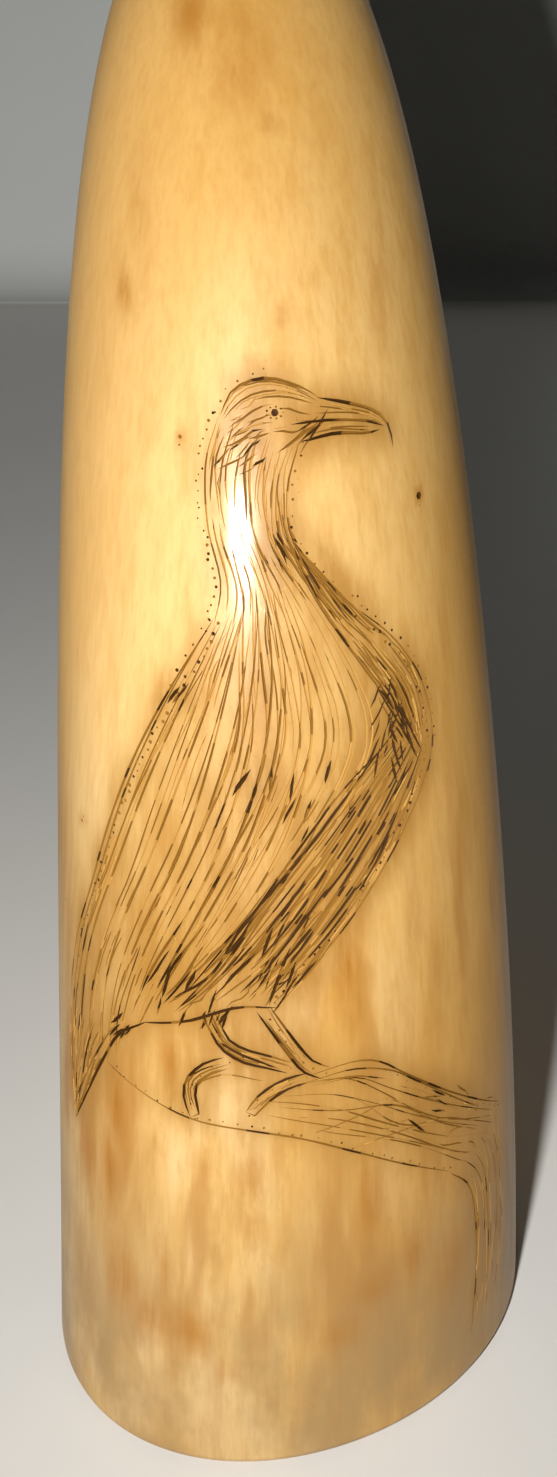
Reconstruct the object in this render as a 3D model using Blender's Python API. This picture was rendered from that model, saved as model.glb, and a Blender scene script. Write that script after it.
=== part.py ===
"""Scrimshaw whale tooth: one sawn and polished sperm whale tooth, standing on its flat base.

Metres, +Z up. The origin is on the base plane, under the middle of the tooth's box.
The engraved picture is on the side that faces -Y. It is only line work, so it isn't in this model.
"""
import math

import bmesh
import bpy
from mathutils import Vector

# Size of the tooth
TOOTH_HEIGHT = 0.1594
BASE_LENGTH = 0.0641
BASE_WIDTH = 0.0556
BASE_TURN = math.radians(48.9)

# Taper: how full the flanks stay before they close at the tip
TIP_ROUNDING = 0.38
FLANK_SLIMMING = 0.352
TIP_FULLNESS = 0.202
TIP_WIDTH_RATIO = 0.94

# The section is a little three-cornered at the base and oval above it
CORNER_SWELL = 0.017
CORNER_TURN = math.radians(62.3)

# Bend of the tooth's axis, at the height of the tip
BACK_BEND = 0.012
SIDE_BEND = -0.0094
SIDE_RETURN = 0.0037

# Sawn base: its worn outer edge, and the pulp cavity that opens in it
BASE_EDGE_RADIUS = 0.0016
BASE_WALL = 0.0165
CAVITY_DEPTH = 0.040
CAVITY_SHARPNESS = 1.5

# Chip out of the base's edge, at the right when the picture faces the viewer
CHIP_LENGTH = 0.0060
CHIP_DEPTH = 0.0016
CHIP_HEIGHT = 0.0050
CHIP_TURN = math.radians(14.0)

# How finely the solids are divided
TOOTH_SIDES = 56
TOOTH_RINGS = 34
EDGE_RINGS = 4
CAVITY_SIDES = 32
CAVITY_RINGS = 10
SMOOTH_ANGLE = math.radians(40.0)
CUT_MARGIN = 0.001

IVORY_COLOUR = (0.80, 0.56, 0.27, 1.0)


def clear_scene():
    """Empties the file of what is in it at the start."""
    for thing in list(bpy.data.objects):
        bpy.data.objects.remove(thing, do_unlink=True)


def new_collection(name):
    group = bpy.data.collections.new(name)
    bpy.context.scene.collection.children.link(group)
    return group


def ivory_material():
    """Polished, yellowed ivory."""
    material = bpy.data.materials.new("polished ivory")
    material.use_nodes = True
    shader = material.node_tree.nodes["Principled BSDF"]
    shader.inputs["Base Color"].default_value = IVORY_COLOUR
    shader.inputs["Roughness"].default_value = 0.3
    shader.inputs["Metallic"].default_value = 0.0
    return material


def taper(height_share):
    """Half width of the tooth at a share of its height, with the base as 1."""
    close = max(0.0, 1.0 - height_share ** 2) ** TIP_ROUNDING
    return close * (1.0 - FLANK_SLIMMING * height_share + TIP_FULLNESS * height_share ** 2)


def axis_point(height_share):
    """Middle of the section at a share of the height, on the tooth's bent axis."""
    side = SIDE_BEND * height_share ** 2 + SIDE_RETURN * height_share ** 3
    return Vector((side, BACK_BEND * height_share ** 2, TOOTH_HEIGHT * height_share))


def base_point(along, across):
    """Level offset from the axis, given along and across the base's long way."""
    return Vector((
        along * math.cos(BASE_TURN) - across * math.sin(BASE_TURN),
        along * math.sin(BASE_TURN) + across * math.cos(BASE_TURN),
        0.0,
    ))


def section_point(height_share, angle, inset=0.0):
    """Point on the tooth's skin, at a share of its height and an angle round its axis."""
    long_half = BASE_LENGTH / 2 * taper(height_share)
    ratio = BASE_WIDTH / BASE_LENGTH
    ratio += (TIP_WIDTH_RATIO - ratio) * height_share
    swell = 1.0 + CORNER_SWELL * (1.0 - height_share) * math.cos(3 * (angle - CORNER_TURN))
    along = (long_half * swell - inset) * math.cos(angle)
    across = (long_half * ratio * swell - inset) * math.sin(angle)
    return axis_point(height_share) + base_point(along, across)


def loft(name, rings, tip):
    """Closed solid through rings of points, from the lowest ring up to the point at its tip."""
    sides = len(rings[0])
    bm = bmesh.new()
    ring = bmesh.ops.create_circle(bm, segments=sides, radius=1.0)["verts"]
    for vert, place in zip(ring, rings[0]):
        vert.co = place
    edges = list(bm.edges)
    bmesh.ops.contextual_create(bm, geom=edges)
    for places in rings[1:]:
        grown = bmesh.ops.extrude_edge_only(bm, edges=edges)["geom"]
        above = [item for item in grown if isinstance(item, bmesh.types.BMVert)]
        edges = [item for item in grown if isinstance(item, bmesh.types.BMEdge)]
        order = {vert: index for index, vert in enumerate(ring)}
        ring = sorted(above, key=lambda vert: order[vert_below(vert, order)])
        for vert, place in zip(ring, places):
            vert.co = place
    top = bmesh.ops.contextual_create(bm, geom=edges)["faces"]
    pole = bmesh.ops.poke(bm, faces=top)["verts"][0]
    pole.co = tip
    bmesh.ops.recalc_face_normals(bm, faces=bm.faces)
    mesh = bpy.data.meshes.new(name)
    bm.to_mesh(mesh)
    bm.free()
    return mesh


def vert_below(vert, order):
    """The vertex of the ring below that a newly extruded vertex grew from."""
    for edge in vert.link_edges:
        other = edge.other_vert(vert)
        if other in order:
            return other
    raise ValueError("an extruded vertex has lost its ring")


def angles(sides):
    return [2 * math.pi * index / sides for index in range(sides)]


def tooth_rings():
    """Rings of the skin: a worn edge at the base, then the flanks, closer together near the tip."""
    rings = []
    for step in range(EDGE_RINGS):
        turn = math.pi / 2 * step / EDGE_RINGS
        inset = BASE_EDGE_RADIUS * (1.0 - math.sin(turn))
        height_share = BASE_EDGE_RADIUS * (1.0 - math.cos(turn)) / TOOTH_HEIGHT
        rings.append([section_point(height_share, angle, inset) for angle in angles(TOOTH_SIDES)])
    first = BASE_EDGE_RADIUS / TOOTH_HEIGHT
    for step in range(TOOTH_RINGS):
        share = math.sin(math.pi / 2 * step / TOOTH_RINGS)
        height_share = first + (1.0 - first) * share
        rings.append([section_point(height_share, angle) for angle in angles(TOOTH_SIDES)])
    return rings


def cavity_rings():
    """Rings of the pulp cavity: a blunt hollow cone that keeps the base's oval at its mouth."""
    rings = []
    half_length = BASE_LENGTH / 2 - BASE_WALL
    half_width = BASE_WIDTH / 2 - BASE_WALL
    for step in range(CAVITY_RINGS):
        rise = math.sin(math.pi / 2 * step / CAVITY_RINGS)
        size = 1.0 - rise ** CAVITY_SHARPNESS
        middle = axis_point(rise * CAVITY_DEPTH / TOOTH_HEIGHT)
        rings.append([
            middle + base_point(half_length * size * math.cos(angle), half_width * size * math.sin(angle))
            for angle in angles(CAVITY_SIDES)
        ])
    skirt = [place - Vector((0.0, 0.0, CUT_MARGIN)) for place in rings[0]]
    return [skirt] + rings


def chip_cutter():
    """Shallow scoop that is missing from the base's edge."""
    bm = bmesh.new()
    bmesh.ops.create_icosphere(bm, subdivisions=2, radius=1.0)
    bmesh.ops.scale(bm, verts=bm.verts, vec=(CHIP_DEPTH, CHIP_LENGTH / 2, CHIP_HEIGHT))
    mesh = bpy.data.meshes.new("chip")
    bm.to_mesh(mesh)
    bm.free()
    chip = bpy.data.objects.new("chip", mesh)
    chip.location = section_point(0.0, CHIP_TURN - BASE_TURN)
    chip.rotation_euler = (0.0, 0.0, CHIP_TURN)
    return chip


def add_cut(target, cutter):
    """Takes the cutter's shape out of the target."""
    cutter.hide_render = True
    cutter.display_type = "WIRE"
    cut = target.modifiers.new("cut by " + cutter.name, "BOOLEAN")
    cut.operation = "DIFFERENCE"
    cut.solver = "EXACT"
    cut.object = cutter


def centre_on_origin(objects, target):
    """Puts the origin under the middle of the tooth's box."""
    xs = [vert.co.x for vert in target.data.vertices]
    ys = [vert.co.y for vert in target.data.vertices]
    shift = Vector(((min(xs) + max(xs)) / 2, (min(ys) + max(ys)) / 2, 0.0))
    for thing in objects:
        thing.location -= shift


def build_tooth():
    parts = new_collection("scrimshaw whale tooth")
    cutters = new_collection("cutters")
    tooth = bpy.data.objects.new("tooth", loft("tooth", tooth_rings(), axis_point(1.0)))
    tooth.data.materials.append(ivory_material())
    parts.objects.link(tooth)
    apex = axis_point(CAVITY_DEPTH / TOOTH_HEIGHT)
    cavity = bpy.data.objects.new("pulp cavity", loft("pulp cavity", cavity_rings(), apex))
    chip = chip_cutter()
    for cutter in (cavity, chip):
        cutters.objects.link(cutter)
        add_cut(tooth, cutter)
    centre_on_origin((tooth, cavity, chip), tooth)
    tooth.data.shade_smooth()
    tooth.data.set_sharp_from_angle(angle=SMOOTH_ANGLE)
    return tooth


clear_scene()
build_tooth()
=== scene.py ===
"""Looks of a scrimshaw whale tooth: polished ivory with a cut and inked picture of a seabird on a bough."""

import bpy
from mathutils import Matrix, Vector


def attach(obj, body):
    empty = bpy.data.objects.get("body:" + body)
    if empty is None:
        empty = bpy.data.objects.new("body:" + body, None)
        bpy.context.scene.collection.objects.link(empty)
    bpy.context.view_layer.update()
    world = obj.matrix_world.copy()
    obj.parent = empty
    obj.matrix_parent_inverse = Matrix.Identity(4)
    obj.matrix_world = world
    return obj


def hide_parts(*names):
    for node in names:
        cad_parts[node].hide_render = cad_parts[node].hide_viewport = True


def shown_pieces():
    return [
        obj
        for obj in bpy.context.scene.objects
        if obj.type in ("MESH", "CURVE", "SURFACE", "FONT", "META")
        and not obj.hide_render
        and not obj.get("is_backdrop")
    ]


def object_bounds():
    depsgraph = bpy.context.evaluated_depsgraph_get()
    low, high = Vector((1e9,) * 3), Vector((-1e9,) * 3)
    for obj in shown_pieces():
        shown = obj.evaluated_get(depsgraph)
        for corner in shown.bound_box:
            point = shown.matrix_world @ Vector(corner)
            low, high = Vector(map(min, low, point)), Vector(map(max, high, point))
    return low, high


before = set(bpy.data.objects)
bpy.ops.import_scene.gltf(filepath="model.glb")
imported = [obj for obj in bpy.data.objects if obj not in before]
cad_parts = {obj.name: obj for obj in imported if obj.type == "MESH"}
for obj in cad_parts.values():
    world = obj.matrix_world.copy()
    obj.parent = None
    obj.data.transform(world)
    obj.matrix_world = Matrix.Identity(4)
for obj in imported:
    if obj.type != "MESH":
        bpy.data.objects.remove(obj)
CAD_BOX = [list(corner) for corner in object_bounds()]

import math
import random

import bmesh
import bpy
import numpy as np
from bpy.props import FloatProperty, FloatVectorProperty, IntProperty, PointerProperty
from mathutils import Vector
from mathutils.geometry import delaunay_2d_cdt
from mathutils.kdtree import KDTree

bl_info = {
    "name": "Scrimshaw whale tooth",
    "version": (1, 0, 0),
    "blender": (4, 5, 0),
    "location": "3D View > Sidebar > Scrimshaw",
    "description": "Builds an engraved whale tooth and its studio",
    "category": "Object",
}

MM = 0.001
CAD_HEIGHT = CAD_BOX[1][2] - CAD_BOX[0][2]

# The picture, in millimetres: distance round the tooth from its front line, and height above the base
CROWN = [(-2.7, 113.2), (-1.3, 115.5), (1.6, 116.4), (4.6, 115.6), (6.6, 114.4)]
BEAK_RIDGE = [(6.2, 114.6), (9.6, 113.8), (12.4, 112.9), (13.9, 111.6), (14.4, 109.6)]
BEAK_EDGE = [(3.6, 112.3), (7.6, 112.5), (11.2, 112.3), (13.6, 111.6)]
BEAK_FLOOR = [(4.4, 110.9), (7.8, 111.3), (11.0, 111.2), (13.0, 111.4)]
BROW = [(-2.0, 112.6), (0.4, 114.5), (3.2, 115.0), (6.4, 113.9)]
CHEEK = [(-2.6, 109.9), (0.4, 111.2), (3.0, 111.6), (4.8, 111.6)]
EYE = (2.3, 113.4)
NECK_BACK = [(-2.8, 113.2), (-4.1, 109.3), (-4.1, 103.8), (-3.2, 98.6), (-4.2, 94.4)]
NECK_FRONT = [(4.4, 110.9), (3.2, 107.0), (3.5, 102.8), (6.0, 98.9), (9.8, 95.6)]
BACK = [(-4.0, 95.4), (-8.4, 88.8), (-12.8, 81.6), (-16.6, 74.3), (-20.0, 66.8), (-23.6, 59.4),
        (-25.8, 52.0)]
TAIL_TIP = (-25.6, 37.6)
WING_OUTER = BACK + [(-26.3, 45.0), TAIL_TIP]
WING_INNER = [(2.6, 97.5), (5.4, 87.0), (2.8, 76.0), (-3.4, 66.0), (-10.2, 58.2)]
MANTLE_LEFT = [(-1.6, 98.6), (-2.4, 91.0), (-3.2, 84.0), (-6.2, 76.0), (-10.4, 68.0)]
MANTLE_RIGHT = [(4.6, 98.2), (9.6, 90.4), (11.8, 83.6), (8.6, 77.4), (3.6, 71.0)]
BREAST = [(9.4, 95.9), (14.0, 92.2), (17.6, 87.2), (18.8, 81.4), (16.6, 76.2), (10.4, 67.8), (5.4, 62.2),
          (0.8, 57.4)]
CAPE_INNER = [(2.6, 103.4), (5.4, 97.2), (9.6, 91.0), (13.6, 85.6), (15.6, 81.4)]
CAPE_OUTER = [(3.9, 102.0), (9.6, 95.6), (14.0, 91.8), (17.4, 86.8), (17.8, 80.6)]
FAN_UPPER = [(14.6, 84.2), (8.4, 79.4), (1.6, 71.6), (-5.0, 63.4), (-11.2, 56.2)]
FAN_LOWER = [(17.8, 81.0), (13.4, 73.6), (8.2, 66.8), (3.8, 61.6), (0.2, 57.8)]
TAIL_INNER = [(-12.8, 54.6), (-16.4, 52.0), (-18.8, 48.4), (-22.4, 42.6), TAIL_TIP]
RUMP = [(-13.4, 54.2), (-8.4, 55.4), (-3.4, 57.4), (0.8, 57.4)]
QUILL_UPPER = [(0.0, 70.0), (-6.0, 62.6), (-13.0, 55.2)]
QUILL_LOWER = [(8.0, 72.6), (1.0, 63.6), (-5.0, 57.6)]
REAR_LEG = [(-6.8, 56.6), (-5.9, 54.6), (-4.9, 52.8), (-3.0, 51.6), (-0.6, 50.9), (1.8, 50.0)]
REAR_TOE = [(-4.6, 51.9), (-7.0, 51.0), (-8.7, 49.2), (-9.0, 47.0), (-8.4, 44.8)]
FORE_LEG = [(-1.3, 57.0), (0.3, 54.4), (1.9, 51.8), (3.4, 49.9), (5.4, 48.8)]
FORE_TOE = [(3.6, 49.8), (1.2, 49.3), (-1.2, 47.9), (-2.7, 45.9)]
BOUGH_TOP = [(3.6, 49.6), (8.2, 50.2), (11.4, 49.4), (14.8, 46.8), (20.6, 42.4), (27.0, 38.0), (32.6, 34.4)]
BOUGH_FOOT = [(-18.8, 48.0), (-13.2, 46.1), (-8.2, 44.7), (-2.0, 43.8), (3.2, 42.4),
              (8.8, 39.6), (14.4, 36.2), (21.6, 31.8)]
TRUNK_LEFT = [(21.6, 31.8), (25.4, 27.8), (27.0, 22.0), (27.4, 14.0), (26.8, 5.8)]
BOUGH_GRAIN = [(-2.0, 45.4), (4.2, 43.6), (10.8, 40.4), (16.4, 37.0), (22.0, 33.4), (26.6, 30.4)]
TRUNK_RIGHT = [(32.4, 34.0), (33.8, 28.0), (34.6, 17.0), (34.0, 6.5)]

# Dark specks: round the tooth, up it, and size beside a usual dot
SPECKS = [
    (17.8, 104.8, 2.0), (17.9, 103.9, 1.0), (-6.4, 111.3, 1.3),
    (-6.5, 110.6, 0.9), (-21.2, 72.9, 1.5), (-20.9, 73.4, 1.0),
]

# Stains: round the tooth and up it, half width and half height, in millimetres, and strength
SPOTS = [
    (-11.6, 123.5, 1.1, 2.2, 0.8), (2.8, 137.0, 0.9, 0.8, 0.75), (3.2, 121.5, 0.6, 0.7, 0.65),
    (-6.4, 111.3, 0.4, 0.9, 0.7), (17.8, 104.8, 0.5, 0.7, 0.95), (-21.2, 72.9, 0.7, 0.9, 0.6),
    (-3.9, 146.1, 1.8, 3.4, 0.8), (0.3, 142.6, 2.8, 4.4, 0.55), (-9.6, 128.5, 1.2, 7.0, 0.4),
    (7.9, 62.0, 1.5, 5.2, 1.0), (8.6, 55.0, 0.9, 3.6, 0.65), (3.6, 56.4, 1.5, 3.4, 0.45),
    (-10.4, 50.4, 1.0, 4.2, 1.0), (-17.4, 44.2, 1.2, 6.0, 1.0), (-14.6, 47.4, 1.0, 4.6, 0.6),
    (-18.8, 35.5, 1.0, 5.4, 0.95), (-22.8, 35.0, 1.9, 4.4, 0.6), (-17.6, 22.5, 2.1, 4.4, 0.75),
    (-12.8, 41.0, 0.7, 1.5, 0.6), (-8.0, 39.5, 1.0, 2.0, 0.6), (-2.0, 38.5, 2.4, 3.2, 0.6),
    (-1.6, 32.0, 1.0, 2.0, 0.75), (-12.0, 26.0, 0.6, 3.6, 0.6), (-9.2, 18.5, 2.1, 2.6, 0.75),
    (-14.0, 19.0, 3.0, 3.2, 0.7), (-24.4, 18.0, 2.0, 8.0, 0.4), (-5.2, 14.0, 1.0, 1.9, 0.6),
    (10.8, 32.5, 1.5, 4.4, 0.8), (16.4, 24.0, 1.5, 3.8, 0.7), (22.4, 19.0, 3.0, 4.4, 0.5),
    (7.6, 17.0, 2.1, 2.0, 0.6), (11.2, 21.5, 2.9, 2.0, 0.5), (19.0, 56.0, 1.2, 8.0, 0.4),
    (15.2, 60.0, 0.9, 6.0, 0.35), (23.4, 66.0, 1.4, 9.0, 0.4), (13.6, 124.0, 1.6, 6.0, 0.35),
    (21.0, 92.0, 1.0, 7.0, 0.3), (1.0, 112.4, 4.6, 2.6, 0.3), (9.0, 112.4, 4.4, 1.1, 0.25),
    (1.6, 104.0, 2.2, 7.0, 0.3), (8.4, 93.6, 3.4, 5.0, 0.3), (-28.0, 62.0, 3.0, 12.0, 0.5),
    (-27.6, 46.0, 3.2, 11.0, 0.65), (-16.2, 70.0, 1.0, 3.0, 0.35), (-9.6, 74.0, 1.2, 4.0, 0.3),
]


# Kinds of value that a user may change

def number_value(name, description, default, **kind):
    return FloatProperty(name=name, description=description, default=default, **kind)


def length_value(name, description, default):
    return number_value(name, description, default, unit="LENGTH")


def angle_value(name, description, degrees):
    return number_value(name, description, math.radians(degrees), subtype="ANGLE")


def count_value(name, description, default):
    return IntProperty(name=name, description=description, default=default)


def place_value(name, description, default):
    return FloatVectorProperty(
        name=name, description=description, default=default, size=len(default), unit="LENGTH")


def colour_value(name, description, default):
    return FloatVectorProperty(name=name, description=description, default=default, subtype="COLOR")


class ToothForm(bpy.types.PropertyGroup):
    """Size and bend of the tooth."""
    height: length_value("Height", "From the sawn base to the tip", CAD_HEIGHT)
    base_length: length_value("Base length", "Long way of the oval base", 0.0641)
    base_width: length_value("Base width", "Short way of the oval base", 0.0556)
    base_turn: angle_value("Base turn", "Turn of the oval from +X", 48.9)
    middle: place_value("Middle", "Axis at the base", (-0.00039, -0.00013))
    tip_rounding: number_value("Tip rounding", "How blunt the tip closes", 0.38)
    flank_slimming: number_value("Flank slimming", "How fast the flanks taper", 0.352)
    tip_fullness: number_value("Tip fullness", "Width given back near the tip", 0.202)
    tip_ratio: number_value("Tip ratio", "Width over length of the section at the tip", 0.94)
    corner_swell: number_value("Corner swell", "Three-cornered swell of the base", 0.017)
    corner_turn: angle_value("Corner turn", "Turn of the swell", 62.3)
    back_bend: length_value("Back bend", "Bend to the back at the tip", 0.012)
    side_bend: length_value("Side bend", "Bend to the side", -0.0094)
    side_return: length_value("Side return", "Bend back to the middle", 0.0037)
    edge_radius: length_value("Edge radius", "Worn edge of the base", 0.0016)
    wall: length_value("Wall", "Ivory round the pulp cavity", 0.0165)
    cavity_depth: length_value("Cavity depth", "Depth of the pulp cavity", 0.040)
    chip_length: length_value("Chip length", "Length of the chip", 0.006)
    chip_depth: length_value("Chip depth", "Depth of the chip", 0.0016)
    chip_height: length_value("Chip height", "Height of the chip", 0.005)
    chip_turn: angle_value("Chip turn", "Way to the chip from +X", 14)
    sides: count_value("Sides", "Divisions round the tooth", 160)
    rings: count_value("Rings", "Divisions up the tooth", 150)


class EngravingStyle(bpy.types.PropertyGroup):
    """How the picture is cut and inked."""
    line_width: length_value("Line width", "Width of a usual cut", 0.20 * MM)
    line_depth: length_value("Line depth", "Depth of a usual cut", 0.14 * MM)
    dot_size: length_value("Dot size", "Width of a pricked dot", 0.29 * MM)
    dot_spacing: length_value("Dot spacing", "Distance between dots", 1.05 * MM)
    haze_reach: length_value("Haze reach", "How far ink stains the ivory beside a cut", 0.26 * MM)
    wash_reach: length_value("Wash reach", "How far the brown wash spreads from the cuts", 1.3 * MM)
    seed: count_value("Seed", "Order of the hand's small errors", 7)
    dark_ink: colour_value("Dark ink", "Ink where it has gathered", (0.056, 0.021, 0.002))
    brown_ink: colour_value("Brown ink", "Ink in the usual cuts", (0.26, 0.118, 0.015))
    faint_ink: colour_value("Faint ink", "Ink worn out of the fine cuts", (0.49, 0.262, 0.060))


class IvoryFinish(bpy.types.PropertyGroup):
    """Colours and gloss of the ivory."""
    pale: colour_value("Pale", "Palest ivory", (0.745, 0.474, 0.168))
    # Amber is also laid toward the right of the tooth as painted shade
    amber: colour_value("Amber", "Aged ivory", (0.585, 0.302, 0.062))
    streak: colour_value("Streak", "Orange-brown streaks", (0.42, 0.175, 0.028))
    # Cream is also laid toward the left of the tooth as painted light
    cream: colour_value("Cream", "Pale patches low on the tooth", (0.80, 0.56, 0.27))
    spot: colour_value("Spot", "Orange-brown stains", (0.38, 0.145, 0.014))
    # Khaki is also laid along the tooth's left edge and low on its right edge as painted shade
    khaki: colour_value("Khaki", "Dull blotches at the base", (0.36, 0.225, 0.088))
    tan: colour_value("Tan", "Broad tan clouds low on the tooth", (0.47, 0.24, 0.058))
    wash: colour_value("Wash", "Brown wash over the picture", (0.39, 0.19, 0.036))
    stain: colour_value("Stain", "Brown stain beside cuts", (0.27, 0.12, 0.015))
    roughness: number_value("Roughness", "Roughness of the polish", 0.44)
    coat: number_value("Coat", "Strength of the wax gloss", 0.14)


class StudioSet(bpy.types.PropertyGroup):
    """Camera, lights and backdrop."""
    camera_place: place_value("Camera", "Place of the lens", (-0.00203, -0.1323, 0.132))
    camera_pitch: angle_value("Pitch", "Tilt below level", 23)
    focal_length: number_value("Focal length", "In millimetres on a 36 mm frame", 31.69)
    key_offset: place_value("Key offset", "Key light from the lens", (-0.021, 0.0, -0.004))
    key_size: length_value("Key size", "Width of the key light", 0.010)
    key_power: number_value("Key power", "Watts of the key light", 7.6)
    key_reach: length_value("Key reach", "Distance at which the key starts to fade", 0.16)
    sparkle_offset: place_value("Sparkle offset", "Gloss light from the lens", (-0.006, 0.0, -0.009))
    sparkle_size: length_value("Sparkle size", "Width of the gloss light", 0.009)
    sparkle_power: number_value("Sparkle power", "Watts of the gloss light", 0.60)
    back_place: place_value("Back place", "Place of the light behind", (0.05, 0.9, 0.45))
    back_size: length_value("Back size", "Width of the light behind", 0.6)
    back_power: number_value("Back power", "Watts of the light behind", 8.0)
    side_place: place_value("Side place", "Place of the light at the left", (-0.45, -0.30, 0.22))
    side_size: length_value("Side size", "Width of the light at the left", 0.25)
    side_power: number_value("Side power", "Watts of the light at the left", 0.26)
    ambient: number_value("Ambient", "Strength of the soft light all round", 0.022)
    ambient_colour: colour_value("Ambient colour", "Colour of the soft light all round", (1.0, 0.97, 0.93))
    wall_distance: length_value("Wall distance", "Backdrop behind the tooth", 1.6)
    floor: colour_value("Floor", "Pale floor", (0.66, 0.64, 0.60))
    wall: colour_value("Wall", "Grey backdrop", (0.42, 0.425, 0.40))


# Form of the tooth

def taper(form, share):
    """Half width at a share of the height, with the base as 1."""
    close = np.maximum(0.0, 1.0 - share ** 2) ** form.tip_rounding
    return close * (1.0 - form.flank_slimming * share + form.tip_fullness * share ** 2)


def axis_at(form, share):
    """The bent axis at a share of the height."""
    side = form.middle[0] + form.side_bend * share ** 2 + form.side_return * share ** 3
    back = form.middle[1] + form.back_bend * share ** 2
    return np.stack([side, back, form.height * share], axis=-1)


def level_offset(form, along, across):
    """Level offset, given along and across the base's long way."""
    cos, sin = math.cos(form.base_turn), math.sin(form.base_turn)
    return np.stack([along * cos - across * sin, along * sin + across * cos, 0.0 * along], axis=-1)


def front_angle(form):
    """Angle of the tooth's front line, which faces the viewer."""
    return -form.base_turn - math.pi / 2


def skin(form, share, angle, inset=0.0):
    """Points of the outer skin at shares of the height and angles round the axis."""
    share, angle = np.broadcast_arrays(np.asarray(share, float), np.asarray(angle, float))
    ratio = form.base_width / form.base_length
    ratio = ratio + (form.tip_ratio - ratio) * share
    long_half = form.base_length / 2 * taper(form, share)
    swell = 1.0 + form.corner_swell * (1.0 - share) * np.cos(3 * (angle - form.corner_turn))
    along = (long_half * swell - inset) * np.cos(angle)
    across = (long_half * ratio * swell - inset) * np.sin(angle)
    return axis_at(form, share) + level_offset(form, along, across)


def skin_normals(form, share, angle):
    """Outward directions of the skin."""
    step = 1e-4
    low, high = np.clip(share - step, 0, 1 - step), np.clip(share + step, 0, 1 - step)
    up = skin(form, high, angle) - skin(form, low, angle)
    across = skin(form, share, angle + step) - skin(form, share, angle - step)
    normal = np.cross(across, up)
    return normal / np.maximum(np.linalg.norm(normal, axis=-1, keepdims=True), 1e-12)


# How far up, as a share of the height, and how far round the front is laid flat, and in how many steps
FLAT_TOP, FLAT_TURN = 0.98, 2.2
FLAT_ROWS, FLAT_COLUMNS = 140, 353


def split(position, count):
    """Whole and broken part of positions in a row of so many values."""
    position = np.clip(position, 0, count - 1.001)
    whole = position.astype(int)
    return whole, position - whole


class Unrolled:
    """The front of the skin laid flat: distance round from the front line, and height, in millimetres."""

    def __init__(self, form):
        self.form = form
        self.shares = np.linspace(0.0, FLAT_TOP, FLAT_ROWS)
        self.turns = np.linspace(-FLAT_TURN, FLAT_TURN, FLAT_COLUMNS)
        grid = skin(form, self.shares[:, None], front_angle(form) + self.turns[None, :])
        steps = np.linalg.norm(np.diff(grid, axis=1), axis=2) / MM
        lengths = np.concatenate([np.zeros((len(self.shares), 1)), np.cumsum(steps, axis=1)], axis=1)
        self.lengths = lengths - lengths[:, len(self.turns) // 2][:, None]

    def to_skin(self, points):
        """Turn from the front line and share of the height for each flat point."""
        share = points[:, 1] * MM / self.form.height
        low, part = split(share / self.shares[1], FLAT_ROWS)
        lengths = self.lengths[low] * (1 - part)[:, None] + self.lengths[low + 1] * part[:, None]
        turn = np.array([np.interp(x, lengths[index], self.turns) for index, x in enumerate(points[:, 0])])
        return np.stack([turn, share], axis=1)

    def to_flat(self, turn, share):
        """Flat place of points given by turn and share."""
        low, up = split(share / self.shares[1], FLAT_ROWS)
        left, over = split((turn - self.turns[0]) / (self.turns[1] - self.turns[0]), FLAT_COLUMNS)
        table = self.lengths
        lower = table[low, left] * (1 - over) + table[low, left + 1] * over
        upper = table[low + 1, left] * (1 - over) + table[low + 1, left + 1] * over
        return np.stack([lower * (1 - up) + upper * up, share * self.form.height / MM], axis=1)


# Strokes of the picture

# Slots of the ivory and of the ink's tones, and a mark for places without ink
IVORY, DARK, BROWN, FAINT, NO_INK = 0, 1, 2, 3, 9

# Most ink that still looks faint, and brown
FAINT_INK, BROWN_INK = 0.38, 0.72

# Length of one step along a cut and of one swing of its ink, in millimetres, and how much the ink swings
STROKE_STEP, INK_WAVE, INK_SWING = 1.2, 9.0, 0.16

# Points on a guide curve of a hatch
GUIDE_POINTS = 80


def smooth_path(points, count):
    """Evenly spaced points along a smooth curve through a few given ones."""
    knots = np.array(points, float)
    ends = np.vstack([2 * knots[0] - knots[1], knots, 2 * knots[-1] - knots[-2]])
    steps = np.linspace(0.0, len(knots) - 1.0, 30 * len(knots))
    index = np.minimum(steps.astype(int), len(knots) - 2)
    part = (steps - index)[:, None]
    before, start, end, after = (ends[index + shift] for shift in range(4))
    bend = 2 * before - 5 * start + 4 * end - after
    twist = 3 * start - before - 3 * end + after
    fine = start + 0.5 * ((end - before) * part + bend * part ** 2 + twist * part ** 3)
    length = np.concatenate([[0.0], np.cumsum(np.linalg.norm(np.diff(fine, axis=0), axis=1))])
    along = np.linspace(0.0, length[-1], count)
    return np.stack([np.interp(along, length, fine[:, axis]) for axis in range(2)], axis=1)


def left_of(path):
    """Way to the left of a flat path, at each of its points."""
    along = np.gradient(path, axis=0)
    along /= np.maximum(np.linalg.norm(along, axis=1, keepdims=True), 1e-9)
    return np.stack([-along[:, 1], along[:, 0]], axis=1)


def beside(points, offset):
    """A guide curve shifted to its left."""
    path = smooth_path(points, 40)
    return path + offset * left_of(path)


class Stroke:
    """One cut: its middle line, and how its width and the depth of its ink change along it."""

    def __init__(self, path, width, ink, hand):
        length = np.linalg.norm(np.diff(path, axis=0), axis=1).sum()
        self.path = smooth_path(path, max(4, int(length / STROKE_STEP) + 2))
        share = np.linspace(0.0, 1.0, len(self.path))
        waves = length / INK_WAVE
        swing = np.sin(hand.uniform(0, 6.28) + waves * math.tau * share)
        swing += 0.7 * np.sin(hand.uniform(0, 6.28) + 2.3 * waves * math.tau * share)
        self.ink = np.clip(ink + INK_SWING * swing, 0.0, 1.0)
        self.halves = 0.5 * width * (0.7 + 0.55 * self.ink) * (np.sin(math.pi * share) ** 0.45)

    def tones(self):
        """Tone of the ink between each two neighbouring points."""
        ink = 0.5 * (self.ink[:-1] + self.ink[1:])
        return np.where(ink > BROWN_INK, DARK, np.where(ink > FAINT_INK, BROWN, FAINT))


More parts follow.
